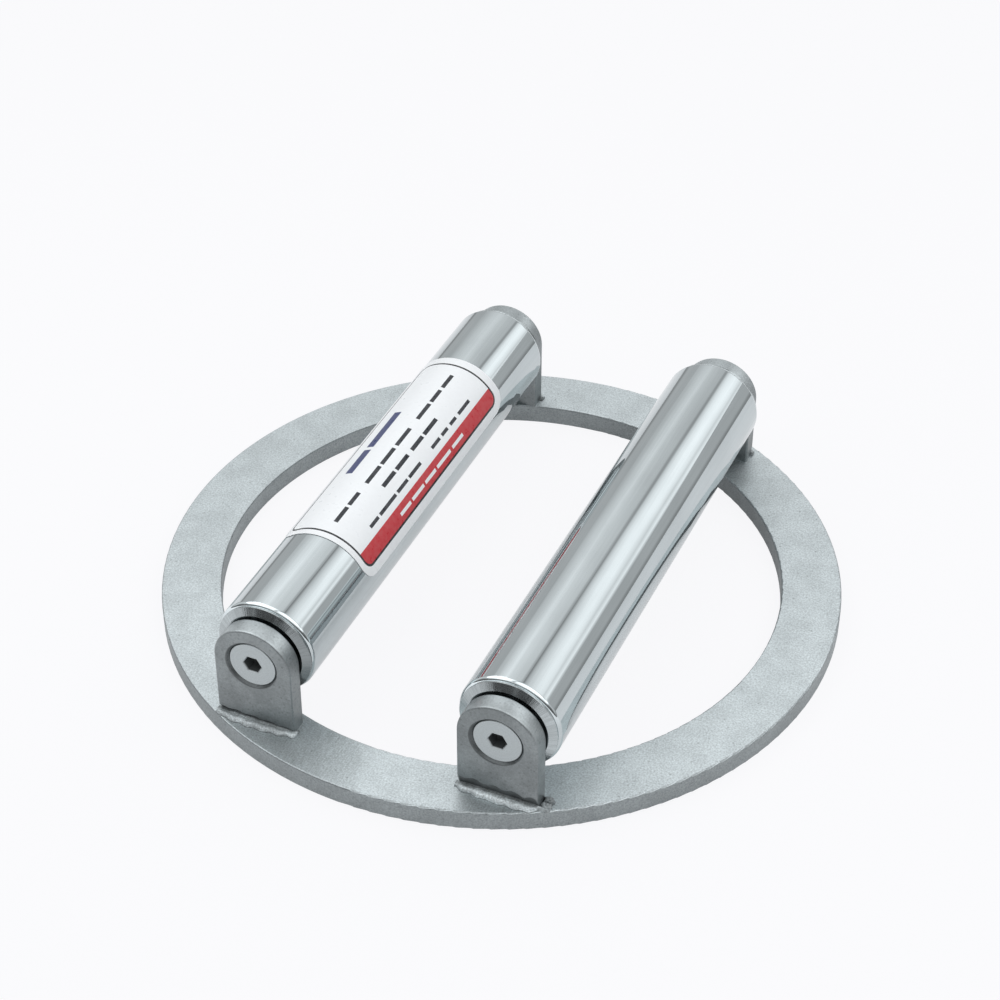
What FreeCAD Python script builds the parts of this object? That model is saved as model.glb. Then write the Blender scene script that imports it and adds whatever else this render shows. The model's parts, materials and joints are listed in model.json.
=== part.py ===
import FreeCAD, Part
import math
import os
import Sketcher
from FreeCAD import Base, Placement, Rotation, Vector

# A round magnetic grate: two sealed magnetic bars held between welded lugs on a flat ring.
# It is dropped into a round hopper or pipe mouth and catches iron from what falls through.
#
# Frame: +Z up, the bars run along Y, the origin is the ring's centre on its underside.
# Millimetres, degrees.

# Sizes that can be set by themselves

SIZES = [
    # flat ring
    ("ring_outer_diameter", 172.0),
    ("ring_width", 15.0),
    ("ring_thickness", 5.4),
    ("ring_edge_round", 0.4),
    # the pair of bars: distance between centres, and how far off the ring's centre it was welded
    ("bar_spacing", 62.0),
    ("pair_offset_x", 1.0),
    ("pair_offset_y", -1.2),
    # polished tube of a bar
    ("tube_diameter", 25.4),
    ("tube_wall", 1.2),
    ("tube_end_round", 1.0),
    # turned plug that closes each tube end
    ("plug_fit_gap", 0.05),
    ("plug_end_wall", 1.9),
    ("plug_spigot_chamfer", 1.0),
    ("plug_collar_step", 0.6),
    ("plug_collar_length", 1.5),
    ("plug_collar_seam", 0.25),
    ("plug_cone_height", 0.85),
    ("plug_cone_width", 1.9),
    ("plug_boss_diameter", 13.0),
    ("plug_boss_height", 0.7),
    ("plug_thread_spare", 1.0),
    # upright lug, and how far its outer corner stays in from the ring's rim
    ("lug_rim_inset", 1.8),
    ("lug_width", 20.0),
    ("lug_thickness", 4.8),
    ("lug_eye_height", 18.0),
    ("lug_edge_round", 0.5),
    ("lug_bevel_depth", 1.6),
    ("lug_bevel_height_left", 1.7),
    ("lug_bevel_height_right", 3.95),
    ("lug_bevel_taper_left", 0.3),
    ("lug_bevel_taper_right", 0.06),
    ("lug_bevel_melt", 0.09),
    # countersunk socket screw
    ("screw_diameter", 6.0),
    ("screw_length", 16.0),
    ("screw_head_diameter", 12.0),
    ("screw_head_rim", 0.3),
    ("screw_head_angle", 90.0),
    ("screw_head_recess", 0.3),
    ("screw_tip_chamfer", 0.8),
    ("screw_edge_round", 0.2),
    ("socket_across_flats", 4.0),
    ("socket_depth", 2.8),
    ("socket_mouth_chamfer", 0.2),
    ("screw_hole_gap", 0.3),
    ("screw_seat_gap", 0.03),
    ("screw_thread_gap", 0.05),
    # fillet weld at the outer foot of each lug, laid from left to right
    ("weld_toe_left", 2.3),
    ("weld_toe_right", 1.4),
    ("weld_throat_share", 0.55),
    ("weld_throat_height_left", 0.9),
    ("weld_throat_height_right", 1.25),
    ("weld_crown_share", 0.24),
    ("weld_end_share", 0.6),
    ("weld_ripple", 0.06),
    ("weld_start_reach", 0.6),
    ("weld_finish_reach_left", 0.8),
    ("weld_finish_reach_right", 2.6),
    ("weld_rim_margin", 0.25),
    # sticker on the left bar
    ("label_length", 80.2),
    ("label_width", 31.0),
    ("label_turn", 11.6),
    ("label_shift", 1.25),
    ("label_thickness", 0.12),
    ("label_glue", 0.05),
    ("label_corner", 5.0),
    # magnets and pole plates inside a tube
    ("stack_side_gap", 0.25),
    ("stack_end_gap", 0.1),
    ("pole_thickness", 3.0),
    ("magnet_chamfer", 0.5),
]

MAGNET_COUNT = 5
SOCKET_SIDES = 6
WELD_STATIONS = 15
WELD_RIPPLE_TURN = 137.5
WELD_MELT_TURN = 125.0
BEVEL_OVERSHOOT = 1.5
DRILL_POINT_ANGLE = 118.0
NEAR = 1e-4

# Sizes that follow from the driving ones, as expressions of the sheet's cells

RING_RADIUS = "(Sizes.ring_outer_diameter / 2)"
TUBE_RADIUS = "(Sizes.tube_diameter / 2)"
TUBE_BORE_RADIUS = "(Sizes.tube_diameter / 2 - Sizes.tube_wall)"
BAR_HEIGHT = "(Sizes.ring_thickness + Sizes.lug_eye_height)"
LUG_CORNER = "(Sizes.bar_spacing / 2 + Sizes.lug_width / 2)"
LUG_OUTER = f"(sqrt(pow({RING_RADIUS}; 2) - pow({LUG_CORNER}; 2)) - Sizes.lug_rim_inset)"
LUG_INNER = f"({LUG_OUTER} - Sizes.lug_thickness)"
BEVEL_ROOT = f"({LUG_OUTER} - Sizes.lug_bevel_depth)"
TUBE_END = f"({LUG_INNER} - Sizes.plug_boss_height - Sizes.plug_collar_length)"
THREAD_HOLE = "(Sizes.screw_diameter + 2 * Sizes.screw_thread_gap)"
SCREW_REACH = "(Sizes.screw_length + Sizes.screw_head_recess - Sizes.lug_thickness)"
THREAD_DEPTH = f"({SCREW_REACH} + Sizes.plug_thread_spare)"
DRILL_POINT = f"({THREAD_HOLE} / 2 / tan({DRILL_POINT_ANGLE / 2}))"
SPIGOT_INNER = f"({LUG_INNER} - {THREAD_DEPTH} - {DRILL_POINT} - Sizes.plug_end_wall)"
SPIGOT_LENGTH = f"({TUBE_END} - {SPIGOT_INNER})"
HEAD_TOP = f"({LUG_OUTER} - Sizes.screw_head_recess)"
HEAD_HALF_ANGLE = "(Sizes.screw_head_angle / 2)"
HEAD_CONE = f"((Sizes.screw_head_diameter - Sizes.screw_diameter) / 2 / tan({HEAD_HALF_ANGLE}))"
SINK_RIM_DEPTH = "(Sizes.screw_head_recess + Sizes.screw_head_rim + Sizes.screw_seat_gap)"
SINK_DIAMETER = f"(Sizes.screw_head_diameter + 2 * {SINK_RIM_DEPTH} * tan({HEAD_HALF_ANGLE}))"
STACK_RADIUS = f"({TUBE_BORE_RADIUS} - Sizes.stack_side_gap)"
STACK_HALF = f"({SPIGOT_INNER} - Sizes.stack_end_gap)"
MAGNET_LENGTH = f"((2 * {STACK_HALF} - {MAGNET_COUNT + 1} * Sizes.pole_thickness) / {MAGNET_COUNT})"
LABEL_RADIUS = f"({TUBE_RADIUS} + Sizes.label_glue)"

SIDES = {"left": -1, "right": 1}
ENDS = {"front": -1, "rear": 1}

os.makedirs("parts", exist_ok=True)
doc = FreeCAD.newDocument("magnetic_grate")
sheet = doc.addObject("Spreadsheet::Sheet", "Sizes")
for row, (size_name, size_value) in enumerate(SIZES, start=1):
    sheet.set(f"A{row}", size_name)
    sheet.set(f"B{row}", str(size_value))
    sheet.setAlias(f"B{row}", size_name)
doc.recompute()

pieces = []


def value(expression):
    """The number that an expression of the sheet's cells gives."""
    return float(sheet.evalExpression(expression.replace("Sizes.", "")))


# Helpers for bodies and sketches

def new_body(name):
    body = doc.addObject("PartDesign::Body", name)
    body.Label = name
    pieces.append(body)
    return body


def new_sketch(body, name, plane_role, offset=None):
    """A sketch on one of the body's own origin planes, lifted off it by an expression."""
    sketch = body.newObject("Sketcher::SketchObject", f"{body.Name}_{name}")
    plane = [item for item in body.Origin.OriginFeatures if item.Role == plane_role][0]
    sketch.AttachmentSupport = [(plane, "")]
    sketch.MapMode = "FlatFace"
    if offset:
        sketch.setExpression("AttachmentOffset.Base.z", offset)
    return sketch


def bind(sketch, kind, *where, size):
    """Adds a dimension to a sketch and ties it to an expression."""
    index = sketch.addConstraint(Sketcher.Constraint(kind, *where, value(size)))
    sketch.setExpression(f"Constraints[{index}]", size)


def fix_point(sketch, geometry, position, across, up):
    """Ties one point to the sketch's origin; a coordinate of "0" puts it on the axis."""
    if across == "0":
        sketch.addConstraint(Sketcher.Constraint("PointOnObject", geometry, position, -2))
    else:
        bind(sketch, "DistanceX", -1, 1, geometry, position, size=across)
    if up == "0":
        sketch.addConstraint(Sketcher.Constraint("PointOnObject", geometry, position, -1))
    else:
        bind(sketch, "DistanceY", -1, 1, geometry, position, size=up)


def add_outline(sketch, corners):
    """A closed outline of straight lines through corners given as pairs of expressions."""
    points = [Vector(value(across), value(up), 0) for across, up in corners]
    lines = [
        sketch.addGeometry(Part.LineSegment(point, points[(index + 1) % len(points)]))
        for index, point in enumerate(points)
    ]
    for index, line in enumerate(lines):
        following = lines[(index + 1) % len(lines)]
        sketch.addConstraint(Sketcher.Constraint("Coincident", line, 2, following, 1))
    for line, (across, up) in zip(lines, corners):
        fix_point(sketch, line, 1, across, up)


def add_circle(sketch, radius, across="0", up="0"):
    centre = Vector(value(across), value(up), 0)
    circle = sketch.addGeometry(Part.Circle(centre, Vector(0, 0, 1), value(radius)))
    if across == "0" and up == "0":
        sketch.addConstraint(Sketcher.Constraint("Coincident", circle, 3, -1, 1))
    else:
        fix_point(sketch, circle, 3, across, up)
    bind(sketch, "Radius", circle, size=radius)


def new_pad(body, sketch, length, both_ways=False, flipped=False):
    pad = body.newObject("PartDesign::Pad", f"{body.Name}_pad")
    pad.Profile = sketch
    pad.Midplane = both_ways
    pad.Reversed = flipped
    pad.setExpression("Length", length)
    return pad


def new_revolution(body, sketch, axis):
    revolution = body.newObject("PartDesign::Revolution", f"{body.Name}_revolution")
    revolution.Profile = sketch
    revolution.ReferenceAxis = (sketch, [axis])
    revolution.Angle = 360
    return revolution


def edge_names(shape, wanted):
    """Names of the edges for which wanted(middle of the edge, edge) is true."""
    names = []
    for index, edge in enumerate(shape.Edges, start=1):
        middle = edge.valueAt((edge.FirstParameter + edge.LastParameter) / 2)
        if wanted(middle, edge):
            names.append(f"Edge{index}")
    return names


def dress_edges(body, kind, size, wanted):
    """Rounds or chamfers chosen edges of the body as it stands."""
    doc.recompute()
    base = body.Tip
    feature = body.newObject(f"PartDesign::{kind}", f"{body.Name}_{kind.lower()}")
    feature.Base = (base, edge_names(base.Shape, wanted))
    feature.setExpression("Radius" if kind == "Fillet" else "Size", size)
    return feature


def is_near(first, second):
    return abs(first - second) < NEAR


def place(body, across, along, up, rotation=Rotation()):
    """Puts a piece in the grate's frame."""
    body.Placement = Placement(Vector(), rotation)
    body.setExpression("Placement.Base.x", across)
    body.setExpression("Placement.Base.y", along)
    body.setExpression("Placement.Base.z", up)


def bar_across(side):
    return f"Sizes.pair_offset_x + {SIDES[side]} * Sizes.bar_spacing / 2"


def place_at_end(body, side, end, distance, up, faces_out=True):
    """Puts an end piece a distance from the bars' middle, its own +Y pointing out or in."""
    along = f"Sizes.pair_offset_y + {ENDS[end]} * {distance}"
    half_turn = 0.0 if (end == "rear") == faces_out else 180.0
    place(body, bar_across(side), along, up, Rotation(Vector(0, 0, 1), half_turn))


# The flat ring

def make_ring():
    body = new_body("base_ring")
    sketch = new_sketch(body, "outline", "XY_Plane")
    add_circle(sketch, RING_RADIUS)
    add_circle(sketch, f"{RING_RADIUS} - Sizes.ring_width")
    new_pad(body, sketch, "Sizes.ring_thickness")
    dress_edges(body, "Fillet", "Sizes.ring_edge_round", lambda middle, edge: len(edge.Vertexes) == 1)


# Stations of a weld, from left to right. The lug's foot melted by a varying height, less towards the
# right, and the bead that was laid there varies in size.

def weld_stations(side, end):
    """For each station: its place along the foot, the height of the melted bevel, the bead's scale."""
    start = "(Sizes.lug_width / 2 + Sizes.weld_start_reach)"
    run = f"(Sizes.lug_width + Sizes.weld_start_reach + Sizes.weld_finish_reach_{side})"
    earlier_welds = list(SIDES).index(side) + len(SIDES) * list(ENDS).index(end)
    stations = []
    for station in range(WELD_STATIONS):
        share = station / (WELD_STATIONS - 1)
        count = earlier_welds * WELD_STATIONS + station
        swell = math.sqrt(math.sin(math.pi * share))
        ripple = math.sin(math.radians(WELD_RIPPLE_TURN * count))
        melt = math.sin(math.radians(WELD_MELT_TURN * count))
        taper = f"(Sizes.weld_end_share + (1 - Sizes.weld_end_share) * {swell})"
        slope = f"(1 + Sizes.lug_bevel_taper_{side} * {1 - 2 * share})"
        stations.append((
            f"({share} * {run} - {start})",
            f"(Sizes.lug_bevel_height_{side} * {slope} * (1 + Sizes.lug_bevel_melt * {melt}))",
            f"({taper} * (1 + Sizes.weld_ripple * {ripple}))",
        ))
    return stations


# Upright lugs: inner face at y = 0, outer face towards +Y, foot at z = 0

def make_lug(side, end):
    body = new_body(f"lug_{end}_{side}")
    half = "Sizes.lug_width / 2"
    sketch = new_sketch(body, "outline", "XZ_Plane")
    half_width = value(half)
    eye = value("Sizes.lug_eye_height")
    foot_left = Vector(-half_width, 0, 0)
    foot_right = Vector(half_width, 0, 0)
    foot = sketch.addGeometry(Part.LineSegment(foot_left, foot_right))
    right = sketch.addGeometry(Part.LineSegment(foot_right, Vector(half_width, eye, 0)))
    circle = Part.Circle(Vector(0, eye, 0), Vector(0, 0, 1), half_width)
    crown = sketch.addGeometry(Part.ArcOfCircle(circle, 0, math.pi))
    left = sketch.addGeometry(Part.LineSegment(Vector(-half_width, eye, 0), foot_left))
    sketch.addConstraint(Sketcher.Constraint("Coincident", foot, 2, right, 1))
    sketch.addConstraint(Sketcher.Constraint("Tangent", right, 2, crown, 1))
    sketch.addConstraint(Sketcher.Constraint("Tangent", crown, 2, left, 1))
    sketch.addConstraint(Sketcher.Constraint("Coincident", left, 2, foot, 1))
    sketch.addConstraint(Sketcher.Constraint("Vertical", right))
    sketch.addConstraint(Sketcher.Constraint("PointOnObject", foot, 1, -1))
    sketch.addConstraint(Sketcher.Constraint("PointOnObject", foot, 2, -1))
    fix_point(sketch, crown, 3, "0", "Sizes.lug_eye_height")
    bind(sketch, "Radius", crown, size=half)
    new_pad(body, sketch, "Sizes.lug_thickness", flipped=True)

    # the outer foot is bevelled for the weld, and its edge melted unevenly
    root = "(Sizes.lug_thickness - Sizes.lug_bevel_depth)"
    beyond = f"({root} + {BEVEL_OVERSHOOT} * Sizes.lug_bevel_depth)"
    sections = []
    for station, (rightwards, bevel_height, _) in enumerate(weld_stations(side, end)):
        section = new_sketch(body, f"melt_{station}", "YZ_Plane", f"{ENDS[end]} * {rightwards}")
        top = f"{BEVEL_OVERSHOOT} * {bevel_height}"
        add_outline(section, [(root, "0"), (beyond, "0"), (beyond, top)])
        sections.append(section)
    doc.recompute()
    bevel = body.newObject("PartDesign::SubtractiveLoft", f"{body.Name}_bevel_cut")
    bevel.Profile = sections[0]
    bevel.Sections = sections[1:]

    # edges of the outline on both faces are eased; the foot stays sharp
    foot_height = value(f"Sizes.lug_bevel_height_{side}")
    thickness = value("Sizes.lug_thickness")

    def on_outline(middle, edge):
        on_face = is_near(middle.y, 0) or is_near(middle.y, thickness)
        on_side = is_near(abs(middle.x), half_width)
        on_crown = is_near(middle.z, eye + half_width)
        above_foot = middle.z > foot_height / 2
        along_face = is_near(edge.BoundBox.YLength, 0)
        return on_face and along_face and above_foot and (on_side or on_crown)

    dress_edges(body, "Fillet", "Sizes.lug_edge_round", on_outline)

    # countersunk eye for the screw
    doc.recompute()
    eye_sketch = new_sketch(body, "eye", "XZ_Plane", "-Sizes.lug_thickness")
    add_circle(eye_sketch, "Sizes.screw_diameter / 2 + Sizes.screw_hole_gap", "0", "Sizes.lug_eye_height")
    doc.recompute()
    hole = body.newObject("PartDesign::Hole", f"{body.Name}_eye_hole")
    hole.Profile = eye_sketch
    hole.Reversed = True
    hole.DepthType = "ThroughAll"
    hole.DrillPoint = "Flat"
    hole.HoleCutType = "Countersink"
    hole.HoleCutCustomValues = True
    hole.setExpression("Diameter", "Sizes.screw_diameter + 2 * Sizes.screw_hole_gap")
    hole.setExpression("HoleCutDiameter", SINK_DIAMETER)
    hole.setExpression("HoleCutCountersinkAngle", "Sizes.screw_head_angle")
    place_at_end(body, side, end, LUG_INNER, "Sizes.ring_thickness")


# Weld beads: lofted along X through the stations, root of the bevel at y = 0, the ring's top at z = 0.
# A section is a rounded ridge in front and a flat throat that joins it to the bevel. The toe follows
# the ring's rim where the lug's corner comes close to it.

def make_weld(side, end):
    body = new_body(f"weld_{end}_{side}")
    root_from_centre = f"abs(Sizes.pair_offset_y + {ENDS[end]} * {BEVEL_ROOT})"
    sections = []
    for station, (rightwards, bevel_height, scale) in enumerate(weld_stations(side, end)):
        rim = f"(sqrt(pow({RING_RADIUS}; 2) - pow({bar_across(side)} + {rightwards}; 2))"
        to_rim = f"{rim} - {root_from_centre} - Sizes.weld_rim_margin)"
        toe = f"min((Sizes.lug_bevel_depth + Sizes.weld_toe_{side}) * {scale}; {to_rim})"
        throat = f"({toe} * Sizes.weld_throat_share)"
        height = f"(Sizes.weld_throat_height_{side} * {scale})"
        lean = f"({height} * Sizes.lug_bevel_depth / {bevel_height})"
        chord_length = f"sqrt(pow({toe} - {throat}; 2) + pow({height}; 2))"
        crown_height = f"({chord_length} * Sizes.weld_crown_share)"
        ridge_radius = f"((pow({chord_length} / 2; 2) + pow({crown_height}; 2)) / 2 / {crown_height})"
        root_point = Vector(0, 0, 0)
        toe_point = Vector(value(toe), 0, 0)
        throat_point = Vector(value(throat), value(height), 0)
        flank_point = Vector(value(lean), value(height), 0)
        chord = throat_point - toe_point
        outward = Vector(chord.y, -chord.x, 0)
        crest_point = (toe_point + throat_point) / 2 + outward * value("Sizes.weld_crown_share")
        sketch = new_sketch(body, f"station_{station}", "YZ_Plane", f"{ENDS[end]} * {rightwards}")
        base = sketch.addGeometry(Part.LineSegment(root_point, toe_point))
        ridge = sketch.addGeometry(Part.Arc(toe_point, crest_point, throat_point))
        saddle = sketch.addGeometry(Part.LineSegment(throat_point, flank_point))
        flank = sketch.addGeometry(Part.LineSegment(flank_point, root_point))
        sketch.addConstraint(Sketcher.Constraint("Coincident", base, 1, -1, 1))
        sketch.addConstraint(Sketcher.Constraint("Coincident", base, 2, ridge, 1))
        sketch.addConstraint(Sketcher.Constraint("Coincident", ridge, 2, saddle, 1))
        sketch.addConstraint(Sketcher.Constraint("Coincident", saddle, 2, flank, 1))
        sketch.addConstraint(Sketcher.Constraint("Coincident", flank, 2, -1, 1))
        sketch.addConstraint(Sketcher.Constraint("PointOnObject", base, 2, -1))
        sketch.addConstraint(Sketcher.Constraint("Horizontal", saddle))
        bind(sketch, "DistanceX", -1, 1, base, 2, size=toe)
        bind(sketch, "DistanceX", -1, 1, saddle, 1, size=throat)
        bind(sketch, "DistanceX", -1, 1, flank, 1, size=lean)
        bind(sketch, "DistanceY", -1, 1, flank, 1, size=height)
        bind(sketch, "Radius", ridge, size=ridge_radius)
        sections.append(sketch)
    doc.recompute()
    loft = body.newObject("PartDesign::AdditiveLoft", f"{body.Name}_bead")
    loft.Profile = sections[0]
    loft.Sections = sections[1:]
    place_at_end(body, side, end, BEVEL_ROOT, "Sizes.ring_thickness")


# Bars: tube, plugs, magnets and pole plates, each modelled about its own Y axis

def make_tube(side):
    body = new_body(f"tube_{side}")
    sketch = new_sketch(body, "wall", "XZ_Plane")
    add_circle(sketch, TUBE_RADIUS)
    add_circle(sketch, TUBE_BORE_RADIUS)
    new_pad(body, sketch, f"2 * {TUBE_END}", both_ways=True)
    outer = value(TUBE_RADIUS)
    dress_edges(
        body, "Fillet", "Sizes.tube_end_round",
        lambda middle, edge: len(edge.Vertexes) == 1 and is_near(math.hypot(middle.x, middle.z), outer),
    )
    place(body, bar_across(side), "Sizes.pair_offset_y", BAR_HEIGHT)


def make_plug(side, end):
    """Spigot in the tube, collar with a flat cone outside it, boss against the lug; +Y points out."""
    body = new_body(f"end_plug_{end}_{side}")
    spigot = f"{TUBE_BORE_RADIUS} - Sizes.plug_fit_gap"
    collar = f"{TUBE_RADIUS} - Sizes.plug_collar_step"
    boss = "Sizes.plug_boss_diameter / 2"
    shoulder = SPIGOT_LENGTH
    face = f"{shoulder} + Sizes.plug_collar_length"
    sketch = new_sketch(body, "section", "XY_Plane")
    add_outline(
        sketch,
        [
            ("0", "0"),
            (f"{spigot} - Sizes.plug_spigot_chamfer", "0"),
            (spigot, "Sizes.plug_spigot_chamfer"),
            (spigot, shoulder),
            (f"{collar} - Sizes.plug_collar_seam", shoulder),
            (collar, f"{shoulder} + Sizes.plug_collar_seam"),
            (collar, f"{face} - Sizes.plug_cone_height"),
            (f"{collar} - Sizes.plug_cone_width", face),
            (boss, face),
            (boss, f"{face} + Sizes.plug_boss_height"),
            ("0", f"{face} + Sizes.plug_boss_height"),
        ],
    )
    new_revolution(body, sketch, "V_Axis")

    # blind tapped hole for the screw
    doc.recompute()
    mouth = f"-({face} + Sizes.plug_boss_height)"
    hole_sketch = new_sketch(body, "tapping", "XZ_Plane", mouth)
    add_circle(hole_sketch, f"{THREAD_HOLE} / 2")
    doc.recompute()
    hole = body.newObject("PartDesign::Hole", f"{body.Name}_tapped_hole")
    hole.Profile = hole_sketch
    hole.Reversed = True
    hole.DepthType = "Dimension"
    hole.DrillPoint = "Angled"
    hole.DrillPointAngle = DRILL_POINT_ANGLE
    hole.setExpression("Diameter", THREAD_HOLE)
    hole.setExpression("Depth", THREAD_DEPTH)
    place_at_end(body, side, end, SPIGOT_INNER, BAR_HEIGHT)


def make_stack_piece(name, length, distance, side, chamfered):
    """A disc of the stack, centred a signed distance along the bar."""
    body = new_body(name)
    sketch = new_sketch(body, "disc", "XZ_Plane")
    add_circle(sketch, STACK_RADIUS)
    new_pad(body, sketch, length, both_ways=True)
    if chamfered:
        dress_edges(
            body, "Chamfer", "Sizes.magnet_chamfer", lambda middle, edge: len(edge.Vertexes) == 1,
        )
    place(body, bar_across(side), f"Sizes.pair_offset_y + {distance}", BAR_HEIGHT)


def make_stack(side):
    """Pole plates and magnets in turn, from the front plug to the rear one."""
    pitch = f"({MAGNET_LENGTH} + Sizes.pole_thickness)"
    first_pole = f"(-{STACK_HALF} + Sizes.pole_thickness / 2)"
    for index in range(MAGNET_COUNT + 1):
        pole_name = f"pole_plate_{side}_{index + 1}"
        pole_middle = f"({first_pole} + {index} * {pitch})"
        make_stack_piece(pole_name, "Sizes.pole_thickness", pole_middle, side, False)
        if index < MAGNET_COUNT:
            magnet_middle = f"({pole_middle} + {pitch} / 2)"
            make_stack_piece(f"magnet_{side}_{index + 1}", MAGNET_LENGTH, magnet_middle, side, True)


# Countersunk screws: top of the head at y = 0, shank towards +Y, so they point inwards

def make_screw(side, end):
    body = new_body(f"screw_{end}_{side}")
    head = "Sizes.screw_head_diameter / 2"
    shank = "Sizes.screw_diameter / 2"
    cone_end = f"Sizes.screw_head_rim + {HEAD_CONE}"
    sketch = new_sketch(body, "section", "XY_Plane")
    add_outline(
        sketch,
        [
            ("0", "0"),
            (head, "0"),
            (head, "Sizes.screw_head_rim"),
            (shank, cone_end),
            (shank, "Sizes.screw_length - Sizes.screw_tip_chamfer"),
            (f"{shank} - Sizes.screw_tip_chamfer", "Sizes.screw_length"),
            ("0", "Sizes.screw_length"),
        ],
    )
    new_revolution(body, sketch, "V_Axis")
    dress_edges(
        body, "Fillet", "Sizes.screw_edge_round",
        lambda middle, edge: is_near(middle.y, 0) and len(edge.Vertexes) == 1,
    )

    # hexagon socket
    doc.recompute()
    socket_sketch = new_sketch(body, "socket", "XZ_Plane")
    side_turn = 360 / SOCKET_SIDES
    corner_radius = f"Sizes.socket_across_flats / 2 / cos({side_turn / 2})"
    corners = [
        (f"{corner_radius} * cos({side_turn * index})", f"{corner_radius} * sin({side_turn * index})")
        for index in range(SOCKET_SIDES)
    ]
    add_outline(socket_sketch, corners)
    socket = body.newObject("PartDesign::Pocket", f"{body.Name}_socket_cut")
    socket.Profile = socket_sketch
    socket.Reversed = False
    socket.setExpression("Length", "Sizes.socket_depth")
    dress_edges(
        body, "Chamfer", "Sizes.socket_mouth_chamfer",
        lambda middle, edge: is_near(middle.y, 0) and len(edge.Vertexes) == 2,
    )
    place_at_end(body, side, end, HEAD_TOP, BAR_HEIGHT, faces_out=False)


# Sticker: a rounded rectangle drawn on the left bar's skin, in turn and length, then thickened

def make_label():
    radius = value(LABEL_RADIUS)
    corner = value("Sizes.label_corner")
    corner_turn = corner / radius
    half_turn = value("Sizes.label_width") / radius / 2
    half_length = value("Sizes.label_length") / 2
    skin = Part.Cylinder()
    skin.Radius = radius

    def straight(start, finish):
        return Part.Geom2d.Line2dSegment(Base.Vector2d(*start), Base.Vector2d(*finish)).toShape(skin)

    def rounded(turn_sign, length_sign):
        """A corner that is round once the sheet is laid flat."""
        turn = turn_sign * (half_turn - corner_turn)
        along = length_sign * (half_length - corner)
        round_curve = Part.Geom2d.Ellipse2d(
            Base.Vector2d(turn, along + corner),
            Base.Vector2d(turn + corner_turn, along),
            Base.Vector2d(turn, along),
        )
        side_point = round_curve.parameter(Base.Vector2d(turn + turn_sign * corner_turn, along))
        end_point = round_curve.parameter(Base.Vector2d(turn, along + length_sign * corner))
        low, high = sorted((side_point, end_point))
        if high - low > math.pi:
            low, high = high, low + 2 * math.pi
        return Part.Geom2d.ArcOfEllipse2d(round_curve, low, high).toShape(skin)

    inner_turn = half_turn - corner_turn
    inner_length = half_length - corner
    edges = [rounded(turn_sign, length_sign) for turn_sign in (-1, 1) for length_sign in (-1, 1)]
    for sign in (-1, 1):
        edges.append(straight((-inner_turn, sign * half_length), (inner_turn, sign * half_length)))
        edges.append(straight((sign * half_turn, -inner_length), (sign * half_turn, inner_length)))
    sheet_face = Part.Face(skin, Part.Wire(Part.__sortEdges__(edges)))
    sheet_face.validate()
    label = doc.addObject("Part::Feature", "label")
    label.Label = "label"
    label.Shape = sheet_face.makeOffsetShape(value("Sizes.label_thickness"), NEAR, fill=True)
    pieces.append(label)
    turned = math.radians(value("Sizes.label_turn"))
    middle_way = Vector(math.sin(turned), 0, math.cos(turned))
    lie = Rotation(middle_way, Vector(), Vector(0, 1, 0), "ZXY")
    place(label, bar_across("left"), "Sizes.pair_offset_y + Sizes.label_shift", BAR_HEIGHT, lie)


make_ring()
for side_name in SIDES:
    for end_name in ENDS:
        make_lug(side_name, end_name)
        make_weld(side_name, end_name)
        make_plug(side_name, end_name)
        make_screw(side_name, end_name)
    make_tube(side_name)
    make_stack(side_name)
make_label()
doc.recompute()

# Nothing is written unless every object is sound

for item in doc.Objects:
    if "Invalid" in item.State or "Error" in item.State:
        raise RuntimeError(f"{item.Name} did not build: {item.State}")
for piece in pieces:
    if piece.Shape.isNull() or not piece.Shape.isValid() or len(piece.Shape.Solids) != 1:
        raise RuntimeError(f"{piece.Label} is not one valid solid")
for piece in pieces:
    piece.Shape.exportStep(f"parts/{piece.Label}.step")
print(f"{len(pieces)} pieces written")
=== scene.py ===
import json
import math

import bpy
from mathutils import Matrix, Vector
from mathutils import noise as lumps


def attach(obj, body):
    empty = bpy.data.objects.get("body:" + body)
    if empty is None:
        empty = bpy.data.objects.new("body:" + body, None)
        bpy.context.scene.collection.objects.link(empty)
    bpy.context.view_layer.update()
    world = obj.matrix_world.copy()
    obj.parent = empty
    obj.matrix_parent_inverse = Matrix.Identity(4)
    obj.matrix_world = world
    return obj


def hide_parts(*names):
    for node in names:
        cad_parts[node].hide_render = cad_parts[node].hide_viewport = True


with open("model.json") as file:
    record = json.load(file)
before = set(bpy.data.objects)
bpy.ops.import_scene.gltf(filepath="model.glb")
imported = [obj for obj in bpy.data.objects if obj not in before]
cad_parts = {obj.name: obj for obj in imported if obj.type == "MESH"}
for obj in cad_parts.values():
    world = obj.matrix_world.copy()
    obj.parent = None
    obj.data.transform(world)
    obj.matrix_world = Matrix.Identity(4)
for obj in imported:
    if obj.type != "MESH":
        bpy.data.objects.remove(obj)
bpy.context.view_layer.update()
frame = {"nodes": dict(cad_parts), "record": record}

# A round magnetic grate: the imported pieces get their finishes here, in a pale studio.
# Metres, +Z up, the bars run along Y, the origin is the ring's centre on its underside.

MM = 0.001

# Camera: it looks along a fixed direction past the origin, a long way off with a long lens

CAMERA_AZIMUTH = 23.86
CAMERA_ELEVATION = 38.326
CAMERA_ROLL = 0.147
CAMERA_DISTANCE = 606.1 * MM
CAMERA_RIGHT = -0.48 * MM
CAMERA_UP = 21.82 * MM
CAMERA_LENS = 85.243
SENSOR_WIDTH = 36.0

# Studio: a low ceiling of two soft panels that meet at a dark seam over the bars, as in a small light
# tent. CEILING_LEVELS has the light across it, at X in millimetres. The seam slants, most of all near
# the grate.

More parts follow.
